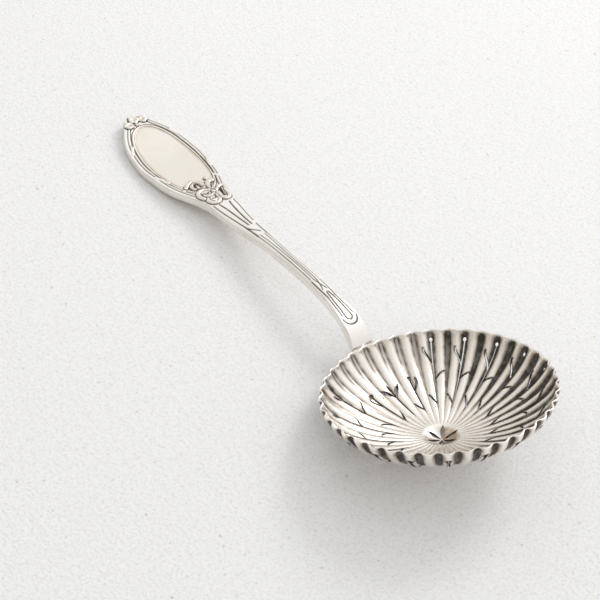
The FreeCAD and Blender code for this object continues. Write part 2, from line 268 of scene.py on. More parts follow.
# Outline of a cut along its middle line, as wide on the real wall as it says
def sawOutline(middles, halves):
    left, right = [], []
    for i, middle in enumerate(middles):
        along = middles[min(i + 1, len(middles) - 1)] - middles[max(i - 1, 0)]
        stretch = stretchAt(middle[1])
        real = np.array([along[0] / stretch, along[1]])
        real /= np.linalg.norm(real)
        side = np.array([-real[1] * stretch, real[0]]) * halves[i]
        left.append(middle + side)
        right.append(middle - side)
    return np.array(left + right[::-1])


def lineOutline(line):
    points = np.array([flatPoint(share, degrees) for share, degrees, width in line])
    widths = np.array([width for share, degrees, width in line])
    run = walkAlong(points)
    spots = np.linspace(0, run[-1], max(4, int(run[-1] / bowlSizes["cutSpacing"])))
    curve = smoothLine(points, 200)
    curveRun = walkAlong(curve)
    curveRun *= run[-1] / curveRun[-1]
    middles = np.stack([np.interp(spots, curveRun, curve[:, k]) for k in (0, 1)], axis=1)
    return sawOutline(middles, np.interp(spots, run, widths) / 2)


def leafOutlineShade(start, end, width):
    t = np.linspace(0, 1, 10)
    a, b = flatPoint(*start), flatPoint(*end)
    halves = width / 2 * np.sin(math.pi * t ** 1.35)
    halves[[0, -1]] = width / 2 * 0.03
    return sawOutline(a + (b - a) * t[:, None], halves)


def holeOutline(share, degrees, radius):
    middle = flatPoint(share, degrees)
    turns = np.linspace(0, 2 * math.pi, 18, endpoint=False)
    across = middle[0] + radius * stretchAt(middle[1]) * np.cos(turns)
    return np.stack([across, middle[1] + radius * np.sin(turns)], axis=1)


def insideOutline(points, outline):
    x, y = points[:, 0], points[:, 1]
    inside = np.zeros(len(points), dtype=bool)
    for (x1, y1), (x2, y2) in zip(outline, np.roll(outline, -1, axis=0)):
        crosses = (y1 > y) != (y2 > y)
        with np.errstate(divide="ignore", invalid="ignore"):
            at = (x2 - x1) * (y - y1) / (y2 - y1) + x1
        inside ^= crosses & (x < at)
    return inside


def nearOutline(points, outline, reach):
    closed = np.concatenate([outline, outline[:1]])
    return distanceToRuns(points[:, 0], points[:, 1], closed) < reach


# Fills a flat region with triangles and leaves out what lies inside the outlines
def piercedSheet(fixed, free, outlines, reach):
    for outline in outlines:
        free = free[~insideOutline(free, outline) & ~nearOutline(free, outline, reach)]
    points = [tuple(p) for p in fixed] + [tuple(p) for p in free]
    edges = []
    for outline in outlines:
        first = len(points)
        points += [tuple(p) for p in outline]
        edges += [(first + i, first + (i + 1) % len(outline)) for i in range(len(outline))]
    result = delaunay_2d_cdt([Vector(p) for p in points], edges, [], 0, touching)
    flat = np.array([(v.x, v.y) for v in result[0]])
    faces = np.array([f for f in result[2] if len(f) == 3])
    middles = flat[faces].mean(axis=1)
    keep = np.ones(len(faces), dtype=bool)
    for outline in outlines:
        keep &= ~insideOutline(middles, outline)
    corners = flat[faces]
    area = np.abs(np.cross(corners[:, 1] - corners[:, 0], corners[:, 2] - corners[:, 0]))
    return flat, faces[keep & (area > touching / 10)]


def openEdges(faces):
    seen = {(f[i], f[(i + 1) % 3]): None for f in faces for i in range(3)}
    return [(a, b) for a, b in seen if (b, a) not in seen]


def wallSector(kind, handed):
    b = bowlSizes
    half = 360.0 / b["flutes"]
    top = b["wall"] / 2
    rows = top + (wallLength - top) * np.linspace(0, 1, b["rows"])
    angles = np.linspace(-half, half, b["columns"] + 1)
    xs = np.radians(angles) * flatScale
    fixed = [(x, rows[0]) for x in xs] + [(x, rows[-1]) for x in xs]
    fixed += [(xs[0], y) for y in rows[1:-1]] + [(xs[-1], y) for y in rows[1:-1]]
    gx, gy = np.meshgrid(xs[1:-1], rows[1:-1])
    free = np.stack([gx.ravel(), gy.ravel()], axis=1)
    twig = twigs[kind]
    outlines = [lineOutline(line) for line in twig["lines"]]
    outlines += [holeOutline(*hole) for hole in twig["holes"]]
    outlines += [leafOutlineShade(*leaf) for leaf in twig["leaves"]]
    if handed < 0:
        outlines = [outline[::-1] * np.array([-1.0, 1.0]) for outline in outlines]
    flat, faces = piercedSheet(np.array(fixed), free, outlines, b["clearOfCuts"])
    angle = np.degrees(flat[:, 0] / flatScale)
    middle = sheetMiddle(angle, flat[:, 1])
    out, up = sheetDirections(angle, flat[:, 1])
    outer = middle + out * b["wall"] / 2
    inner = middle - out * b["wall"] / 2
    count = len(flat)
    points = [outer, inner]
    polygons = [tuple(f) for f in faces] + [tuple(count + f[::-1]) for f in faces]
    sawn = set()
    for a, c in openEdges(faces):
        (ax, ay), (cx, cy) = flat[a], flat[c]
        onSide = abs(ax - cx) < touching and abs(abs(ax) - xs[-1]) < touching
        onEnd = abs(ay - cy) < touching and min(abs(ay - rows[0]), abs(ay - rows[-1])) < touching
        if not onSide and not onEnd:
            polygons.append((c, a, count + a, count + c))
            sawn.update((a, c))
    # The rounded edge of the rim
    rim = np.array([i for i in range(count) if abs(flat[i][1] - rows[0]) < touching])
    rim = rim[np.argsort(flat[rim, 0])]
    turns = np.linspace(0, math.pi, b["rimSteps"] + 2)[1:-1]
    rings = [rim]
    size = 2 * count
    for turn in turns:
        ring = middle[rim] + (out[rim] * math.cos(turn) + up[rim] * math.sin(turn)) * b["wall"] / 2
        points.append(ring)
        rings.append(np.arange(size, size + len(rim)))
        size += len(rim)
    rings.append(rim + count)
    for upper, lower in zip(rings[:-1], rings[1:]):
        for i in range(len(rim) - 1):
            polygons.append((upper[i], upper[i + 1], lower[i + 1], lower[i]))
    around = [np.full(len(rim), math.cos(turn)) for turn in turns]
    places = {
        "angle": np.concatenate([angle, angle] + [angle[rim]] * len(around)),
        "walked": np.concatenate([flat[:, 1], flat[:, 1], np.zeros(size - 2 * count)]),
        "side": np.concatenate([np.ones(count), -np.ones(count)] + around),
        "cut": np.zeros(size),
    }
    # The walls of each cut are painted black as the shade seen through it
    for i in sawn:
        places["cut"][[i, count + i]] = tarnishAndShadeStrengths["sawPaintedShade"]
    return np.concatenate(points), polygons, places


# Places where black tarnish and brown film have gathered, by share of half a flute, and the bearing of the
# side that gets painted shade
tarnishAndShadePlaces = {
    "insideWidth": 0.6, "insideTop": 0.55, "insideRound": 1.2,
    "outsideWidth": 0.6, "outsideRound": 1.0, "outsideLength": 15.0,
    "paintedShadeSide": -120.0,    # bearing of the blackened side
}
# How strong they are: black in the channels, painted shade on the walls of the cuts, then the brown film,
# with painted shade on the dish's far side
tarnishAndShadeStrengths = {
    "channel": 1.3, "streak": 0.75, "pale": 0.2, "sawPaintedShade": 1.0, "starSawPaintedShade": 0.95,
    "beside": 0.85, "crest": 0.28, "brightCrest": 0.48, "valley": 0.05, "everywhere": 0.08,
    "outsideBeside": 0.7, "outsideCrest": 0.3, "dish": 0.15, "dishPaintedShade": 0.75,
}


# Distance from a flute's crest, from 0 to 1 at the valley
def fromCrest(angle):
    return np.arccos(np.clip(np.cos(np.radians(angle * bowlSizes["flutes"])), -1, 1)) / math.pi


def roundTop(walked, start, size):
    rise = np.clip((walked - start) / size, 0, 1)
    return np.sqrt(np.clip(1 - (1 - rise) ** 2, 0, 1))


# Black patina in the channels, with painted shade that turns them fully black on the side away from the
# window; the other side is only streaked at their edges
def insideGrimeAndShade(angle, walked, bearing):
    p, s = tarnishAndShadePlaces, tarnishAndShadeStrengths
    # facing: how far a place turns towards the side that gets painted shade
    facing = smoothStep(-0.4, 0.85, np.cos(bearing - math.radians(p["paintedShadeSide"])))
    away = fromCrest(angle)
    down = walked / wallLength
    # The channels are painted wider towards that side, as painted shade
    half = p["insideWidth"] * (0.68 + 0.32 * facing) * (1 - 0.5 * smoothStep(0.15, 0.9, down))
    half = half * roundTop(walked, p["insideTop"], p["insideRound"])
    below = smoothStep(p["insideTop"], p["insideTop"] + 0.3, walked)
    fading = 1 - 0.85 * smoothStep(0.5, 0.88, down)
    full = s["channel"] * (1 - smoothStep(half - 0.1, half + 0.05, away)) * below * fading
    streak = bump(away - half + 0.06, 0.13) * below * (1 - 0.8 * smoothStep(0.2, 0.75, down))
    streak = streak * (0.75 + 0.25 * np.sin(walked * 1.7 + bearing * 23.0))
    cap = full * (1 - smoothStep(0.03, 0.28, down))
    # Full black there is painted shade; on the lit side only tarnish streaks stay
    black = full * facing + (1 - facing) * (s["streak"] * streak + s["pale"] * full + s["pale"] * cap)
    low = smoothStep(0.45, 0.8, down) * (1 - smoothStep(0.93, 1.0, down))
    middle = smoothStep(0.15, 0.4, down) * (1 - smoothStep(0.8, 0.95, down))
    brown = bump(away - half - 0.06, 0.12) * below * (s["beside"] - 0.5 * down)
    brown += s["crest"] * bump(away, 0.3) * low
    brown += s["brightCrest"] * (1 - facing) * bump(away, 0.26) * middle
    brown += s["valley"] * bump(away - 1, 0.2) * smoothStep(0.5, 0.9, down)
    # The brown is also painted darker towards the shaded side
    return black, brown * (0.7 + 0.3 * facing)


def outsideGrime(angle, walked):
    p, s = tarnishAndShadePlaces, tarnishAndShadeStrengths
    away = 1 - fromCrest(angle)
    taper = np.clip(1 - (walked / p["outsideLength"]) ** 1.6, 0, 1)
    half = p["outsideWidth"] * taper * (0.7 + 0.3 * roundTop(walked, 0, p["outsideRound"]))
    full = 1 - smoothStep(half - 0.1, half + 0.05, away)
    black = s["channel"] * full * (1 - smoothStep(9.0, 14.5, walked))
    brown = bump(away - half - 0.05, 0.12) * taper * s["outsideBeside"]
    brown += s["outsideCrest"] * bump(away, 0.35) * smoothStep(4.0, 12.0, walked)
    return black, brown


def wallGrimeAndShade(places, turn):
    bearing = np.radians(places["angle"]) + turn
    insideBlack, insideBrown = insideGrimeAndShade(places["angle"], places["walked"], bearing)
    outsideBlack, outsideBrown = outsideGrime(places["angle"], places["walked"])
    share = smoothStep(0.1, 0.8, places["side"])
    black = insideBlack * (places["side"] < -0.99) + outsideBlack * share
    brown = np.where(places["side"] < 0, insideBrown, outsideBrown * share)
    brown += tarnishAndShadeStrengths["everywhere"]
    return np.stack([np.maximum(black, places["cut"]), brown, np.zeros(len(black))], axis=1)


# The dish in the middle with its star of six leaves
star = {"leaves": 6, "turn": 16.0, "start": 0.45, "end": 5.25, "width": 1.25}


def starDish():
    b, s = bowlSizes, tarnishAndShadeStrengths
    edge = b["dishRadius"]
    count = b["columns"] * b["flutes"] // 2
    turns = np.linspace(0, 2 * math.pi, count, endpoint=False) - math.pi * 2 / b["flutes"]
    fixed = np.stack([edge * np.cos(turns), edge * np.sin(turns)], axis=1)
    free = [np.zeros((1, 2))]
    for radius in np.arange(b["dishSpacing"], edge - 0.1, b["dishSpacing"]):
        ring = np.linspace(0, 2 * math.pi, max(6, int(radius * 18)), endpoint=False)
        free.append(np.stack([radius * np.cos(ring), radius * np.sin(ring)], axis=1))
    outlines = []
    for k in range(star["leaves"]):
        bearing = math.radians(star["turn"] + 60 * k)
        along = np.array([math.cos(bearing), math.sin(bearing)])
        side = np.array([-along[1], along[0]])
        t = np.linspace(0, 1, 14)
        spots = star["start"] + (star["end"] - star["start"]) * t
        half = star["width"] / 2 * np.maximum(np.sin(math.pi * t ** 1.2), 0.02)
        left = spots[:, None] * along + half[:, None] * side
        right = spots[:, None] * along - half[:, None] * side
        outlines.append(np.concatenate([left, right[::-1]]))
    flat, faces = piercedSheet(fixed, np.concatenate(free), outlines, b["clearOfStar"])
    radius = np.linalg.norm(flat, axis=1)
    rim = sheetMiddle(np.zeros(1), np.array([wallLength]))[0]
    rimOut = sheetDirections(np.zeros(1), np.array([wallLength]))[0][0]
    scale = np.hypot(rim[0], rim[1]) / edge
    low = rim[2] - b["dishDepth"] * (1 - (radius / edge) ** 2)
    middle = np.stack([flat[:, 0] * scale, flat[:, 1] * scale, low], axis=1)
    slope = 2 * b["dishDepth"] / edge ** 2
    out = np.stack([flat[:, 0] * slope, flat[:, 1] * slope, -np.ones(len(flat))], axis=1)
    onRim = radius > edge - 1e-4
    bearing = np.arctan2(flat[:, 1], flat[:, 0])
    around = np.cos(bearing) * rimOut[0], np.sin(bearing) * rimOut[0], np.full(len(flat), rimOut[2])
    out[onRim] = np.stack(around, axis=1)[onRim]
    out /= np.linalg.norm(out, axis=1)[:, None]
    size = len(flat)
    points = np.concatenate([middle + out * b["wall"] / 2, middle - out * b["wall"] / 2])
    polygons = [tuple(f) for f in faces] + [tuple(size + f[::-1]) for f in faces]
    cutShade = np.zeros(2 * size)
    # The walls of the star's cuts are painted black as the shade seen through them
    for a, c in openEdges(faces):
        if not (onRim[a] and onRim[c]):
            polygons.append((c, a, size + a, size + c))
            cutShade[[a, c, size + a, size + c]] = s["starSawPaintedShade"]
    # Painted shade: the dish is browner on its side away from the window
    facing = smoothStep(-0.5, 0.6, np.cos(bearing - math.radians(tarnishAndShadePlaces["paintedShadeSide"])))
    brown = (s["dish"] + s["dishPaintedShade"] * facing) * smoothStep(0.02, 0.25, 1 - radius / edge)
    grimeAndShade = np.zeros((2 * size, 3))
    grimeAndShade[:, 0] = cutShade
    grimeAndShade[:, 1] = np.concatenate([np.full(size, s["outsideCrest"]), brown])
    return points, polygons, grimeAndShade


def makeBowl():
    sectors = {
        "long": wallSector("long", 1), "left": wallSector("side", -1), "right": wallSector("side", 1),
        "neck": wallSector("neck", 1),
    }
    sectorCount = bowlSizes["flutes"] // 2
    parts = []
    for k in range(sectorCount):
        name = {0: "neck", 1: "left", sectorCount - 1: "right"}.get(k, "long")
        own, faces, places = sectors[name]
        turn = 2 * math.pi * k / sectorCount
        c, s = math.cos(turn), math.sin(turn)
        own = own @ np.array([[c, s, 0], [-s, c, 0], [0, 0, 1]])
        parts.append((own, faces, wallGrimeAndShade(places, turn)))
    parts.append(starDish())
    polygons, size = [], 0
    for own, faces, grimeAndShade in parts:
        polygons += [tuple(size + i for i in f) for f in faces]
        size += len(own)
    points = leanBowl(np.concatenate([own for own, faces, grimeAndShade in parts]))
    grimeAndShade = np.concatenate([grimeAndShade for own, faces, grimeAndShade in parts])
    return makeObject("fluted_bowl", points, polygons, grimeAndShade, 38.0)


bowl = makeBowl()
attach(bowl, "root")
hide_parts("bowl")
print("bowl made", len(bowl.data.vertices), "points")


# The handle, measured from the crest of the rim. Pairs of distance and size.
handleSizes = {
    "tops": [
        (3.4, 10.3), (6.6, 11.9), (10.4, 12.7), (17.0, 12.9), (25.0, 12.4), (38.0, 10.9), (50.0, 9.55),
        (60.0, 8.05), (68.0, 7.3), (77.0, 6.6), (84.0, 5.3), (91.0, 4.25), (97.0, 3.65), (105.5, 2.95),
        (114.4, 3.1), (121.3, 3.55), (128.7, 3.75),
    ],
    "halfWidths": [
        (3.4, 3.55), (6.6, 3.4), (10.4, 3.15), (17.0, 2.55), (25.0, 2.38), (38.0, 2.4), (50.0, 3.1),
        (60.0, 4.0), (68.0, 4.7), (77.0, 5.3), (84.0, 7.75), (91.0, 10.15), (97.0, 11.1), (103.0, 11.72),
        (109.0, 11.4), (114.0, 10.55), (118.0, 9.2), (121.0, 7.6), (123.3, 6.15), (125.2, 5.05),
        (126.8, 4.0), (127.8, 3.0), (128.3, 2.1), (128.5, 1.0),
    ],
    "crown": [
        (8.0, 0.0), (13.0, 0.2), (17.0, 0.55), (28.0, 1.1), (50.0, 1.2), (60.0, 1.1), (68.0, 0.7),
        (78.0, 0.2), (84.0, 0.0),
    ],
    "thick": [
        (3.4, 3.9), (6.6, 3.1), (10.4, 2.9), (17.0, 2.9), (25.0, 2.6), (38.0, 2.3), (50.0, 2.1),
        (60.0, 2.1), (68.0, 2.6), (77.0, 3.5), (84.0, 4.0), (91.0, 4.1),
    ],
    "sideWall": [
        (0.0, 3.0), (5.0, 3.0), (9.0, 2.3), (21.0, 2.2), (25.0, 1.8), (30.0, 1.45), (47.0, 1.2),
        (65.0, 1.2), (70.0, 1.9), (77.0, 2.8), (84.0, 2.4), (95.0, 2.3), (107.0, 1.8), (114.0, 1.75),
        (125.0, 1.9),
    ],
    "backStart": 98.0,      # where the underside lies flat on the table
    "backEnd": 117.0,
    "end": 128.5,
    "endRise": 1.1,
    "tipRun": 1.2,          # the last stretch, with closer rows
    "bellyRun": 2.8,
    "bellyFrom": (80.0, 98.0),
    "rimHalfWidth": 4.0,
    "tongue": 4.8,
    "tongueWidth": 3.7,
    "tongueSteps": 12,
    "tongueRows": 26,
    "gap": 0.25,
    "edgeRound": 0.38,
    "halfColumns": 84,
    "sideRows": 6,
    "lowColumns": 31,
    "tipRows": 16,
    "spacing": 0.125,
}
# Brown film, painted shade and rubbed metal on the plain parts of the handle
handleGrimeAndShade = {
    "edge": 0.3, "side": 0.02, "sideFoot": 0.18, "belly": 0.3, "bellyEdgeShade": 0.5, "topRubbed": 0.85,
    "sideRubbed": 0.7, "leafOutlineShade": 0.95,
}


def sizeAt(name, x):
    table = np.array(handleSizes[name])
    return np.interp(x, table[:, 0], table[:, 1])


# Where the handle starts, and its lines along the top, the underside and the half width
def handleCurves():
    h, b = handleSizes, bowlSizes
    walked = np.linspace(0, h["tongue"], h["tongueSteps"])
    onCrest = np.zeros(h["tongueSteps"])
    crest = sheetMiddle(onCrest, walked)
    crest += sheetDirections(onCrest, walked)[0] * (b["wall"] / 2 + h["gap"])
    crest = leanBowl(crest)
    crest[:, 0] -= spoon["middleShift"] + spoon["rimEdge"]
    start = (crest[0][0], crest[0][2])
    top = smoothLine([start] + h["tops"], 1500)
    toe = (crest[-1][0] + 0.8, crest[-1][2] - 0.3)
    lows = [(x, float(np.interp(x, top[:, 0], top[:, 1])) - thick) for x, thick in h["thick"]]
    under = smoothLine([toe] + lows + [(h["backStart"], 0.0)], 1200)
    width = smoothLine([(start[0], h["rimHalfWidth"])] + h["halfWidths"], 1500)
    back = np.stack([crest[::-1, 0], crest[::-1, 2]], axis=1)
    topLine = np.concatenate([back[:-1], top])
    underLine = np.concatenate([back[:1], under, [(h["backEnd"], 0.0), (h["end"] + 2, h["endRise"])]])
    widthLine = np.concatenate([[(back[0][0], h["tongueWidth"])], width])
    return back[0][0], topLine, underLine, widthLine


# Lines chased along the stem: half width of the cut, then distance along and place across. Twin
# lines lie on both sides of the middle.
twinLines = [
    (0.17, [(73.9, 3.85), (70.0, 3.55), (66.0, 3.0), (61.0, 2.4)]),
    (0.24, [(59.0, 2.15), (55.0, 1.86), (52.6, 1.8)]),
    (0.25, [(73.5, 1.9), (70.0, 1.35), (66.0, 0.97), (62.0, 0.72), (59.4, 0.6)]),
    (0.17, [(26.0, 0.44), (23.4, 0.0), (20.6, -0.75)]),
    (0.2, [(25.2, 1.5), (21.0, 1.5), (17.0, 1.38)]),
    (0.17, [(17.0, 1.38), (13.0, 1.72), (9.1, 1.95)]),
    (0.2, [(19.4, 0.3), (15.0, 0.73), (9.2, 1.05), (7.7, 0.9), (7.1, 0.0)]),
    (0.22, [(7.9, 2.5), (6.7, 2.1), (5.8, 1.1), (5.6, 0.0)]),
]
singleLines = [
    (0.125, [(52.6, 1.8), (46.0, 1.4), (42.0, 1.25), (34.0, 1.18), (26.0, 1.35)]),
    (0.125, [(52.6, -1.8), (46.0, -1.58), (42.0, -1.46), (34.0, -1.43), (26.0, -1.42)]),
    (0.14, [(52.6, 0.8), (46.0, 0.45), (42.0, 0.32), (34.0, 0.22), (26.0, 0.44)]),
    (0.14, [(52.6, -0.8), (46.0, -0.62), (42.0, -0.55), (34.0, -0.48), (26.0, -0.44)]),
    (0.2, [(61.2, 2.4), (60.0, 2.27), (58.8, 2.13)]),
    (0.22, [(58.2, 2.05), (56.8, 1.3), (55.4, 0.1), (54.6, -0.5)]),
]
borderSizes = {
    "start": 77.5,
    "field": {"middle": 102.5, "long": 19.5, "wide": 8.4, "power": 2.1, "sink": 0.2},
    "outer": {"from": 1.22, "cut": 0.15, "depth": 0.18, "dark": 0.85},
    "second": {"from": 2.28, "cut": 0.16, "depth": 0.26, "dark": 1.0},
    "third": {"from": 0.93, "cut": 0.16, "depth": 0.24, "dark": 1.0},
    "inner": {"from": 0.02, "cut": 0.14, "depth": 0.16, "dark": 0.7},
}
# Ribbon ties over the reeds of the border, from end to end
borderTies = [
    ((116.8, -8.3), (113.4, -9.9)), ((98.4, -10.7), (94.6, -9.3)), ((97.8, 10.0), (93.4, 8.2)),
    ((114.8, 8.1), (111.8, 9.9)), ((89.8, -7.0), (87.6, -8.5)), ((88.4, 5.1), (86.4, 6.5)),
]
# The bow, from the lowest piece of ribbon to the knot on top: half width, height and course
bowRibbons = [
    (0.8, 0.55, [(87.5, 5.2), (88.9, 3.6), (89.4, 1.8), (88.6, 0.3), (85.5, -0.4), (82.5, -0.6)]),
    (0.62, 0.45, [(84.5, 0.1), (84.5, 2.2), (85.9, 3.4), (87.4, 3.1), (88.0, 1.9)]),
    (0.95, 0.5, [(82.0, -1.2), (84.3, -1.8), (86.2, -2.4), (87.1, -3.4), (86.9, -4.5)]),
    (0.7, 0.5, [(88.9, -3.4), (88.7, -3.4)]),
    (1.6, 0.5, [(77.6, 0.9), (76.9, 2.3)]),
    (0.72, 0.6, [
        (79.9, -0.5), (77.6, -0.6), (75.6, 0.1), (74.8, 1.4), (75.3, 3.0), (76.9, 3.7), (78.2, 3.3)]),
    (0.68, 0.6, [
        (80.7, -1.2), (81.6, -3.2), (82.6, -5.1), (81.9, -5.9), (80.1, -5.2), (77.4, -4.5), (75.7, -3.7),
        (75.1, -2.2), (76.2, -1.3), (78.3, -1.7), (79.9, -1.5)]),
    (1.5, 0.5, [(81.2, 1.4), (81.0, 3.2)]),
    (0.7, 0.55, [(79.7, -0.2), (79.2, 1.3), (80.3, 2.9)]),
    (0.75, 0.65, [(80.8, -0.7), (82.7, 0.1), (83.4, 2.0), (82.6, 3.8), (80.4, 4.7), (78.6, 4.2)]),
    (0.75, 0.8, [(80.8, -0.8), (80.6, -0.8)]),
]
# Hollows in its loops and creases in its ribbons: half width and course
bowHollows = [
    (0.5, [(81.0, -3.6), (79.0, -3.1), (77.2, -2.8)]),
    (0.42, [(87.6, 1.9), (85.8, 2.1)]),
    (0.2, [(85.4, -3.4), (84.3, -2.4), (83.0, -1.7)]),
    (0.18, [(79.0, 0.4), (76.9, 1.0), (77.1, 2.1)]),
    (0.2, [(84.6, 2.9), (84.2, 1.0), (82.6, -0.2)]),
    (0.18, [(81.0, 0.9), (80.3, 2.2), (81.0, 3.6)]),
]


# Distance to a chased line, worked out only near it
def distanceToLine(x, y, line):
    points = smoothLine(line, 40) if len(line) > 2 else np.array(line, dtype=float)
    best = np.full(x.shape, farAway)
    reach = 1.6
    near = (x > points[:, 0].min() - reach) & (x < points[:, 0].max() + reach)
    near &= (y > points[:, 1].min() - reach) & (y < points[:, 1].max() + reach)
    best[near] = distanceToRuns(x[near], y[near], points)
    return best


# Distance outward from the edge of the sunk field, below zero inside it
def fieldDistance(x, y):
    f = borderSizes["field"]
    turns = np.linspace(0, math.pi, 90)
    power = 2 / f["power"]
    edgeX = f["middle"] + f["long"] * np.sign(np.cos(turns)) * np.abs(np.cos(turns)) ** power
    edgeY = f["wide"] * np.sin(turns) ** power
    best = distanceToRuns(x, np.abs(y), np.stack([edgeX, edgeY], axis=1))
    level = np.abs((x - f["middle"]) / f["long"]) ** f["power"] + np.abs(y / f["wide"]) ** f["power"]
    return np.where(level < 1, -best, best)


# Height, black and brown of the reeds and ties round the oval
def borderChasing(x, y, widthLine):
    b = borderSizes
    lift, black, brown, tied, beside = np.zeros((5,) + x.shape)
    onBorder = smoothStep(b["start"], b["start"] + 1.5, x)
    outline = widthLine[widthLine[:, 0] > b["start"] - 4][::8]
    fromEdge = distanceToRuns(x, np.abs(y), outline)
    fromField = fieldDistance(x, y)
    for ends in borderTies:
        away = distanceToLine(x, y, ends)
        tied = np.maximum(tied, 1 - smoothStep(0.4, 0.62, away))
        beside = np.maximum(beside, bump(away - 0.8, 0.14))
    for name in ("outer", "second", "third", "inner"):
        groove = b[name]
        away = fromEdge if name in ("outer", "second") else fromField
        cut = bump(away - groove["from"], groove["cut"]) * onBorder
        if name != "inner":
            cut = cut * (1 - tied)
        lift -= cut * groove["depth"]
        black = np.maximum(black, cut * groove["dark"])
        brown = np.maximum(brown, bump(away - groove["from"], 0.3) * onBorder * 0.25)
    brown = np.maximum(brown, bump(fromField + 0.2, 0.5) * onBorder * 0.5)
    reedBand = bump(fromEdge - 1.75, 0.36) * onBorder
    lift += reedBand * 0.14 * (1 - tied) + tied * 0.18 * onBorder
    black = np.maximum(black, beside * reedBand * 0.6 * (1 - tied))
    sunk = smoothStep(-0.1, 0.4, -fromField) * onBorder
    lift -= sunk * b["field"]["sink"]
    return lift, black, brown, sunk


# Height, black and brown of the lines along the stem
def stemChasing(x, y):
    lift, black, brown = np.zeros((3,) + x.shape)
    lines = [(half, points, 1) for half, points in singleLines + twinLines]
    lines += [(half, points, -1) for half, points in twinLines]
    for half, points, side in lines:
        away = distanceToLine(x, y * side, points)
        cut = bump(away, half)
        lift = np.minimum(lift, -cut * half)
        black = np.maximum(black, cut)
        brown = np.maximum(brown, bump(away, 0.3) * 0.3)
    return lift, black, brown


# Lays the bow over what is chased below it, with painted shade in its creases and hollows and a painted
# brown shadow round it
def layBow(x, y, lift, black, brown):
    mound, crease, shade = np.zeros((3,) + x.shape)
    for half, high, course in bowRibbons:
        away = distanceToLine(x, y, course)
        share = away / half
        shape = high * np.clip(1 - share ** 2.4, 0, 1) ** 0.5
        # A dark line painted round each ribbon is the shade in its crease
        outline = bump(away - half - 0.06, 0.17)
        over = shape > mound * 0.8 + 0.02
        crease = np.where(over, smoothStep(0.8, 1.0, share) * 0.25, np.maximum(crease, outline * 0.95))
        # A brown halo painted round the bow stands for its shadow
        shade = np.maximum(shade, bump(np.clip(away - half, 0, None), 0.55))
        mound = np.where(over, np.maximum(shape, mound * 0.5), mound)
    for half, course in bowHollows:
        away = distanceToLine(x, y, course)
        deep = 1 - smoothStep(half * 0.6, half * 1.3, away)
        mound = mound * (1 - deep * 0.8)
        # The hollows are painted black as shade
        crease = np.maximum(crease, deep)
    covered = smoothStep(0.02, 0.12, mound)
    lift = lift * (1 - covered) + mound - crease * (1 - covered) * 0.12
    black = np.maximum(black * (1 - covered), crease)
    brown = np.maximum(brown * (1 - covered), shade * 0.45 * (1 - covered * 0.5))
    return lift, black, brown


# Leaves that close the tip: place along and across, radius, direction, height of the seat and of the leaf,
# and the brown painted as shade in its hollow
tipLeaves = [
    {"x": 124.25, "y": 3.5, "radius": 1.85, "turn": -130.0, "seat": 3.6, "high": 0.75, "brown": 0.7},
    {"x": 125.2, "y": -2.65, "radius": 1.7, "turn": 100.0, "seat": 3.6, "high": 0.75, "brown": 1.1},
    {"x": 126.3, "y": 0.45, "radius": 2.05, "turn": 180.0, "seat": 3.65, "high": 0.75, "brown": 0.6},
    {"x": 123.5, "y": 0.8, "radius": 0.6, "turn": 0.0, "seat": 3.5, "high": 0.7, "brown": 0.1},
]


# Places over the top, closer near the edges where it is wide, and their distance from the edge
def spreadColumns(xs, width):
    h = handleSizes
    share = np.linspace(0, 1, h["halfColumns"] + 1)
    power = 1 + np.clip((width - 4) / 8, 0, 1) * 0.75
    edge = width[:, None] * share[None, :] ** power[:, None]
    left = width[:, None] - edge
    y = np.concatenate([left, -left[:, -2::-1]], axis=1)
    x = np.repeat(xs[:, None], y.shape[1], axis=1)
    return x, y, np.minimum(np.concatenate([edge, edge[:, -2::-1]], axis=1), h["end"] - x)


# Everything that is chased into the top, with the tarnish that it holds and painted shade round the bow
# and the leaves
def chaseTop(x, y, widthLine):
    lift, black, brown, field = borderChasing(x, y, widthLine)
    lineLift, lineBlack, lineBrown = stemChasing(x, y)
    lift, black, brown = lift + lineLift, np.maximum(black, lineBlack), np.maximum(brown, lineBrown)
    lift, black, brown = layBow(x, y, lift, black, brown)
    for leaf in tipLeaves:
        away = np.hypot(x - leaf["x"], y - leaf["y"]) - leaf["radius"]
        # A dark ring is painted round each leaf as shade
        black = np.maximum(black, bump(np.clip(away, 0, None), 0.22) * handleGrimeAndShade["leafOutlineShade"])
    return lift, black, brown, field


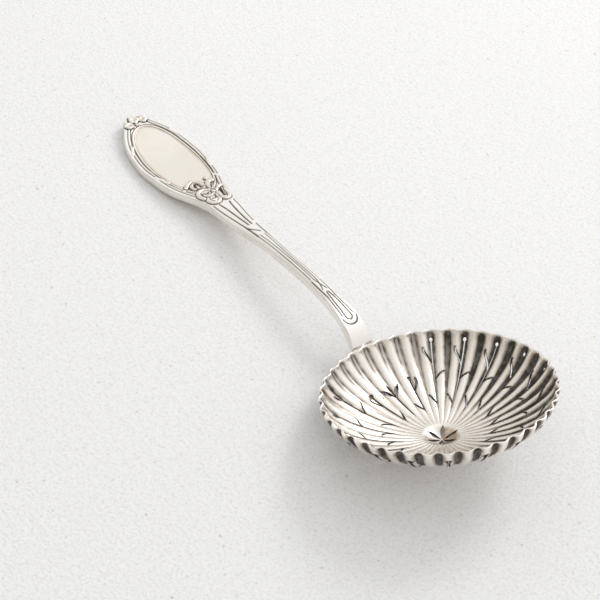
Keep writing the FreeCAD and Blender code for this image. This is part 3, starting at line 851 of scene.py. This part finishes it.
# Rows round the handle: over its top, down one side, along the belly and up the other side
def makeHandle():
    h, g = handleSizes, handleGrimeAndShade
    start, topLine, underLine, widthLine = handleCurves()
    rimStart = topLine[h["tongueSteps"] - 1][0]
    xs = np.concatenate([
        np.linspace(start, rimStart, h["tongueRows"])[:-1],
        np.arange(rimStart, h["end"] - h["tipRun"] - 0.05, h["spacing"]),
        h["end"] - h["tipRun"] * (1 - np.linspace(0, 1, h["tipRows"])) ** 2])
    top = np.interp(xs, topLine[:, 0], topLine[:, 1])
    under = np.clip(np.interp(xs, underLine[:, 0], underLine[:, 1]), 0, top - 0.05)
    width = np.interp(xs, widthLine[:, 0], widthLine[:, 1])
    thick = top - under
    xTop, yTop, fromEdge = spreadColumns(xs, width)
    lift, black, brown, field = chaseTop(xTop, yTop, widthLine)
    lift += sizeAt("crown", xTop) * (1 - np.abs(yTop / width[:, None]) ** 3)
    chased = smoothStep(0.6, 3.0, xs)[:, None]     # the tongue behind the bowl is plain
    roundSize = np.minimum(h["edgeRound"], thick * 0.45)[:, None]
    past = np.clip(roundSize - fromEdge, 0, None)
    drop = roundSize - np.sqrt(np.clip(roundSize ** 2 - past ** 2, 0, None))
    zTop = top[:, None] + (lift - 0.02) * chased - drop
    sideTop = top - roundSize[:, 0]
    sideFoot = np.minimum(top - np.minimum(sizeAt("sideWall", xs), thick * 0.8), sideTop - 0.02)
    down = np.linspace(0, 1, h["sideRows"] + 1)[1:]
    ySide = np.repeat(-width[:, None], len(down), axis=1)
    zSide = sideTop[:, None] + (sideFoot - sideTop)[:, None] * down
    lowTurn = np.linspace(-math.pi / 2, math.pi / 2, h["lowColumns"] + 2)[1:-1]
    run = width + (np.minimum(h["bellyRun"], width) - width) * smoothStep(*h["bellyFrom"], xs)
    yLow = width[:, None] * np.sin(lowTurn)
    out = np.clip((np.abs(yLow) - (width - run)[:, None]) / run[:, None], 0, 1)
    zLow = under[:, None] + (sideFoot - under)[:, None] * (1 - np.sqrt(1 - out ** 2))
    y = np.concatenate([yTop, ySide, yLow, -ySide], axis=1)
    z = np.concatenate([zTop, zSide, zLow, zSide[:, ::-1]], axis=1)
    x = np.repeat(xs[:, None], y.shape[1], axis=1) + (spoon["middleShift"] + spoon["rimEdge"])
    grimeAndShade = np.zeros(y.shape + (3,))
    columns = yTop.shape[1]
    grimeAndShade[:, :columns, 0] = black * chased
    # Brown along the rounded edge of the top is painted shade
    grimeAndShade[:, :columns, 1] = np.maximum(brown * chased, bump(fromEdge, 0.3) * g["edge"])
    grimeAndShade[:, :columns, 2] = (1 - field) * np.clip(1 - black * 1.5, 0, 1) * g["topRubbed"]
    # Painted shade next to the table: brown grows towards the foot of the sides, lies under the belly and
    # is strongest at its edge
    sideBrown = np.tile(g["side"] + g["sideFoot"] * down ** 2, (len(xs), 1))
    lowBrown = g["belly"] + g["bellyEdgeShade"] * smoothStep(0.8, 0.95, out)
    grimeAndShade[:, columns:, 1] = np.concatenate([sideBrown, lowBrown, sideBrown[:, ::-1]], axis=1)
    grimeAndShade[:, columns:, 2] = g["sideRubbed"]
    polygons = ringFaces(*y.shape)
    polygons.append(tuple(range(y.shape[1]))[::-1])
    polygons.append(tuple(range(y.size - y.shape[1], y.size)))
    points = np.stack([x, y, z], axis=2).reshape(-1, 3)
    return makeObject("chased_handle", points, polygons, grimeAndShade.reshape(-1, 3), 50.0)


handle = makeHandle()
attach(handle, "root")
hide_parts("handle")
print("handle made", len(handle.data.vertices), "points")


# A hollow leaf with a wavy edge and a vein, closed below, seated in the handle's top
def makeTipLeaf(index, leaf):
    ringCount, sides = 18, 72
    shares, turns = np.linspace(0, 1, ringCount + 1), np.linspace(0, 2 * math.pi, sides, endpoint=False)
    share, turn = np.meshgrid(shares, turns, indexing="ij")
    radius = leaf["radius"] * share * (1 + 0.07 * np.cos(5 * turn) + 0.04 * np.cos(8 * turn + 1))
    x, y = radius * np.cos(turn), radius * np.sin(turn) * 0.92
    c, s = math.cos(math.radians(leaf["turn"])), math.sin(math.radians(leaf["turn"]))
    hollow = np.exp(-((x - 0.2 * leaf["radius"]) ** 2 + y ** 2) / (0.5 * leaf["radius"]) ** 2)
    vein = bump(y, 0.16) * np.sin(math.pi * share)
    waves = 0.07 * np.cos(7 * turn) * share * (1 - share)
    height = leaf["high"] * (np.sqrt(1 - share ** 5) - 0.38 * hollow) + waves - 0.08 * vein
    px = leaf["x"] + x * c - y * s + spoon["middleShift"] + spoon["rimEdge"]
    py = leaf["y"] + x * s + y * c
    levels = (leaf["seat"] + height, np.full(px.shape, leaf["seat"] - 0.8))
    points = np.concatenate([np.stack([px, py, z], axis=2).reshape(-1, 3) for z in levels])
    # Painted shade: a dark rim at the leaf's edge and brown in its hollow; rubbed metal elsewhere
    shades = (smoothStep(0.9, 1.0, share) * 0.7, hollow * leaf["brown"] + vein * 0.2, 0.9 - hollow)
    grimeAndShade = np.tile(np.stack(shades, axis=2).reshape(-1, 3), (2, 1))
    half = (ringCount + 1) * sides
    edge = half - sides
    polygons = [face[::-1] for face in ringFaces(ringCount + 1, sides)]
    polygons += ringFaces(ringCount + 1, sides, half)
    for j in range(sides):
        a, b = edge + j, edge + (j + 1) % sides
        polygons.append((a, b, b + half, a + half))
    return makeObject("tip_leaf_%d" % index, points, polygons, grimeAndShade, 60.0)


tipPieces = [makeTipLeaf(index, leaf) for index, leaf in enumerate(tipLeaves)]
for piece in tipPieces:
    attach(piece, "root")
print("tip leaves made")


# Node helpers, used by every material
def feed(tree, socket, value):
    if hasattr(value, "is_output"):
        tree.links.new(value, socket)
    else:
        socket.default_value = value


def addMath(tree, operation, first, second, clamp=False):
    node = tree.nodes.new("ShaderNodeMath")
    node.operation = operation
    node.use_clamp = clamp
    feed(tree, node.inputs[0], first)
    feed(tree, node.inputs[1], second)
    return node.outputs[0]


def addMix(tree, share, first, second):
    node = tree.nodes.new("ShaderNodeMix")
    node.data_type = "RGBA"
    for place, value in ((0, share), (6, first), (7, second)):
        feed(tree, node.inputs[place], value)
    return node.outputs[2]


def addNode(tree, kind, values, output):
    node = tree.nodes.new("ShaderNode" + kind)
    for name, value in values.items():
        feed(tree, node.inputs[name], value)
    return node.outputs[output]


def addNoise(tree, place, scale, detail, rough):
    values = {"Vector": place, "Scale": scale, "Detail": detail, "Roughness": rough}
    return addNode(tree, "TexNoise", values, "Fac")


def addRange(tree, value, low, high, toLow, toHigh):
    values = {"Value": value, "From Min": low, "From Max": high, "To Min": toLow, "To Max": toHigh}
    return addNode(tree, "MapRange", values, "Result")


def addBump(tree, height, strength, distance):
    values = {"Height": height, "Strength": strength, "Distance": distance}
    return addNode(tree, "Bump", values, "Normal")


def newMaterial(name):
    material = bpy.data.materials.new(name)
    material.use_nodes = True
    return material, material.node_tree, material.node_tree.nodes["Principled BSDF"]


# Scale, detail and roughness of each noise in the silver
silverNoises = {
    "cloud": (420.0, 6.0, 0.65), "patch": (95.0, 4.0, 0.55), "speck": (1500.0, 4.0, 0.7),
    "scratch": (900.0, 3.0, 0.5),
}
scratchStretch = (0.25, 1.6, 1.0)
scratchDepth = 0.00002     # in metres


# Tarnish and painted shade shared by the silvers: black in the hollows, brown film beside them, fine wear
# elsewhere; the black and the brown also carry painted shade
def makeTarnishAndShadeGroup():
    group = bpy.data.node_groups.new("silver_tarnish_and_shade", "ShaderNodeTree")
    for name, kind, value in (
        ("Silver", "Color", (0.88, 0.85, 0.8, 1)), ("Bright", "Color", (0.97, 0.96, 0.94, 1)),
        ("TarnishAndShade", "Color", (0.05, 0.04, 0.035, 1)), ("FilmAndShade", "Color", (0.45, 0.35, 0.25, 1)),
        ("Amount", "Float", 1.0), ("Gloss", "Float", 0.16), ("Haze", "Float", 1.0),
    ):
        socket = group.interface.new_socket(name=name, in_out="INPUT", socket_type="NodeSocket" + kind)
        socket.default_value = value
    for name, kind in (("Color", "Color"), ("Roughness", "Float"), ("Height", "Float")):
        group.interface.new_socket(name=name, in_out="OUTPUT", socket_type="NodeSocket" + kind)
    inputs = group.nodes.new("NodeGroupInput").outputs
    outputs = group.nodes.new("NodeGroupOutput").inputs
    place = addNode(group, "TexCoord", {}, "Object")
    grimeAndShade = group.nodes.new("ShaderNodeVertexColor")
    grimeAndShade.layer_name = "grimeAndShade"
    parts = group.nodes.new("ShaderNodeSeparateColor")
    feed(group, parts.inputs["Color"], grimeAndShade.outputs["Color"])
    cloud = addNoise(group, place, *silverNoises["cloud"])
    patch = addNoise(group, place, *silverNoises["patch"])
    speck = addNoise(group, place, *silverNoises["speck"])
    uneven = addRange(group, cloud, 0.3, 0.7, 0.84, 1.12)
    black = addMath(group, "MULTIPLY", parts.outputs["Red"], uneven)
    black = addMath(group, "MULTIPLY", black, inputs["Amount"], True)
    haze = addMath(group, "MULTIPLY", addRange(group, patch, 0.42, 0.75, 0.0, 0.16), inputs["Haze"])
    mottle = addRange(group, cloud, 0.3, 0.7, 0.45, 1.4)
    brown = addMath(group, "MULTIPLY", parts.outputs["Green"], mottle)
    brown = addMath(group, "ADD", brown, haze)
    brown = addMath(group, "ADD", brown, addRange(group, speck, 0.7, 0.88, 0.0, 0.08), True)
    metal = addMix(group, parts.outputs["Blue"], inputs["Silver"], inputs["Bright"])
    filmed = addMix(group, brown, metal, inputs["FilmAndShade"])
    feed(group, outputs["Color"], addMix(group, black, filmed, inputs["TarnishAndShade"]))
    stretched = addNode(group, "Mapping", {"Vector": place, "Scale": scratchStretch}, "Vector")
    scratch = addNoise(group, stretched, *silverNoises["scratch"])
    rough = addMath(group, "ADD", addMath(group, "MULTIPLY", scratch, 0.08), inputs["Gloss"])
    dull = addMath(group, "MAXIMUM", addMath(group, "MULTIPLY", brown, 0.5), black)
    rough = addMath(group, "ADD", rough, addMath(group, "MULTIPLY", dull, 0.3))
    feed(group, outputs["Roughness"], rough)
    feed(group, outputs["Height"], scratch)
    return group


tarnishAndShadeGroup = makeTarnishAndShadeGroup()
silvers = {
    "fluted_silver": {
        "Silver": (0.98, 0.955, 0.915, 1), "TarnishAndShade": (0.065, 0.057, 0.05, 1),
        "FilmAndShade": (0.48, 0.35, 0.23, 1), "Amount": 1.0, "Gloss": 0.17, "Haze": 1.3,
    },
    "chased_silver": {
        "Silver": (0.885, 0.845, 0.775, 1), "TarnishAndShade": (0.055, 0.042, 0.035, 1),
        "FilmAndShade": (0.58, 0.45, 0.32, 1), "Amount": 1.0, "Gloss": 0.24, "Haze": 1.0,
    },
    "solder_grey": {
        "Silver": (0.62, 0.58, 0.52, 1), "TarnishAndShade": (0.1, 0.08, 0.07, 1),
        "FilmAndShade": (0.3, 0.24, 0.18, 1), "Amount": 0.0, "Gloss": 0.35, "Haze": 2.0,
    },
}
bumpStrengths = {"fluted_silver": 0.25, "chased_silver": 0.25, "solder_grey": 0.4}


def makeSilver(name):
    material, tree, shader = newMaterial(name)
    group = tree.nodes.new("ShaderNodeGroup")
    group.node_tree = tarnishAndShadeGroup
    for socket, value in silvers[name].items():
        group.inputs[socket].default_value = value
    shader.inputs["Metallic"].default_value = 1.0
    feed(tree, shader.inputs["Base Color"], group.outputs["Color"])
    feed(tree, shader.inputs["Roughness"], group.outputs["Roughness"])
    normal = addBump(tree, group.outputs["Height"], bumpStrengths[name], scratchDepth)
    feed(tree, shader.inputs["Normal"], normal)
    return material


bowl.data.materials.append(makeSilver("fluted_silver"))
chasedSilver = makeSilver("chased_silver")
for piece in [handle] + tipPieces:
    piece.data.materials.append(chasedSilver)
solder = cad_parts["solder_joint"]
solder.data.materials.clear()
solder.data.materials.append(makeSilver("solder_grey"))
print("silver made")


# The table, in metres
floorSizes = {
    "half": 30.0, "roughness": 0.9, "shine": 0.1, "bumps": (0.8, 0.0006),
    "pale": (0.94, 0.948, 0.962, 1), "speck": (0.58, 0.545, 0.5, 1),
}
floorNoises = {
    "cloud": (300.0, 8.0, 0.75), "speck": (600.0, 3.0, 0.55), "grit": (1050.0, 4.0, 0.7),
    "grain": (750.0, 8.0, 0.75),
}


# A plaster board with faint mottling and small specks
def makeFloor():
    mesh = bpy.data.meshes.new("table_top")
    half = floorSizes["half"]
    corners = [(-half, -half, 0), (half, -half, 0), (half, half, 0), (-half, half, 0)]
    mesh.from_pydata(corners, [], [(0, 1, 2, 3)])
    floor = addObject("table_top", mesh)
    material, tree, shader = newMaterial("pale_plaster")
    shader.inputs["Roughness"].default_value = floorSizes["roughness"]
    shader.inputs["Specular IOR Level"].default_value = floorSizes["shine"]
    place = addNode(tree, "TexCoord", {}, "Object")
    cloud, speck, grit, grain = (addNoise(tree, place, *noise) for noise in floorNoises.values())
    share = addRange(tree, cloud, 0.5, 0.75, 0.0, 0.14)
    share = addMath(tree, "ADD", share, addRange(tree, speck, 0.67, 0.74, 0.0, 0.6))
    share = addMath(tree, "ADD", share, addRange(tree, grit, 0.48, 0.72, 0.0, 0.4), True)
    color = addMix(tree, share, floorSizes["pale"], floorSizes["speck"])
    feed(tree, shader.inputs["Base Color"], color)
    feed(tree, shader.inputs["Normal"], addBump(tree, grain, *floorSizes["bumps"]))
    mesh.materials.append(material)


makeFloor()

# The window's lamp, in metres and watts, and the room round it
lightSizes = {
    "place": (0.2, -0.85, 0.75),
    "size": 0.42,
    "power": 3.8,
    "color": (1.0, 0.985, 0.96),
    "skyBright": 1.04,
    "skyDim": 0.44,
    "toward": (0.0, -0.77, 0.64),     # where the room is brightest
    "brightTint": (1.0, 1.0, 1.0, 1),
    "dimTint": (1.0, 0.955, 0.88, 1),
}


def makeLamp():
    lamp = bpy.data.lights.new("window", "AREA")
    lamp.shape = "SQUARE"
    lamp.size = lightSizes["size"]
    lamp.energy = lightSizes["power"]
    lamp.color = lightSizes["color"]
    holder = addObject("window", lamp)
    holder.location = lightSizes["place"]
    holder.rotation_euler = (-Vector(lightSizes["place"])).to_track_quat("-Z", "Y").to_euler()


# A soft room that is brighter on the window's side
def makeWorld():
    world = bpy.data.worlds.new("soft_room")
    bpy.context.scene.world = world
    world.use_nodes = True
    tree = world.node_tree
    background = tree.nodes["Background"].inputs
    dot = tree.nodes.new("ShaderNodeVectorMath")
    dot.operation = "DOT_PRODUCT"
    feed(tree, dot.inputs[0], addNode(tree, "TexCoord", {}, "Generated"))
    feed(tree, dot.inputs[1], lightSizes["toward"])
    facing = dot.outputs["Value"]
    level = addRange(tree, facing, -1.0, 1.0, lightSizes["skyDim"], lightSizes["skyBright"])
    share = addRange(tree, facing, -1.0, 1.0, 0.0, 1.0)
    feed(tree, background["Strength"], level)
    feed(tree, background["Color"], addMix(tree, share, lightSizes["dimTint"], lightSizes["brightTint"]))


makeLamp()
makeWorld()
print("light made")

# The camera at the photograph's angle, tipped a little to one side; its place is in metres from
# the middle of the rim
cameraSizes = {
    "lens": 111.36, "sensor": 36.0, "place": (-0.2427, 0.2832, 0.3843),
    "bearing": -42.745, "dip": 44.041, "roll": 8.934,
}


def makeCamera():
    camera = bpy.data.cameras.new("camera")
    camera.sensor_width = cameraSizes["sensor"]
    camera.lens = cameraSizes["lens"]
    camera.clip_end = 2 * floorSizes["half"]
    holder = addObject("camera", camera)
    bearing, dip, roll = (math.radians(cameraSizes[name]) for name in ("bearing", "dip", "roll"))
    ahead = Matrix.Rotation(bearing - math.pi / 2, 4, "Z") @ Matrix.Rotation(math.pi / 2 - dip, 4, "X")
    rimMiddle = Vector((spoon["middleShift"], 0, spoon["rimHeight"])) * millimetre
    place = Matrix.Translation(rimMiddle + Vector(cameraSizes["place"]))
    holder.matrix_world = place @ ahead @ Matrix.Rotation(roll, 4, "Z")
    bpy.context.scene.camera = holder


makeCamera()
bpy.context.scene.view_settings.view_transform = "Standard"
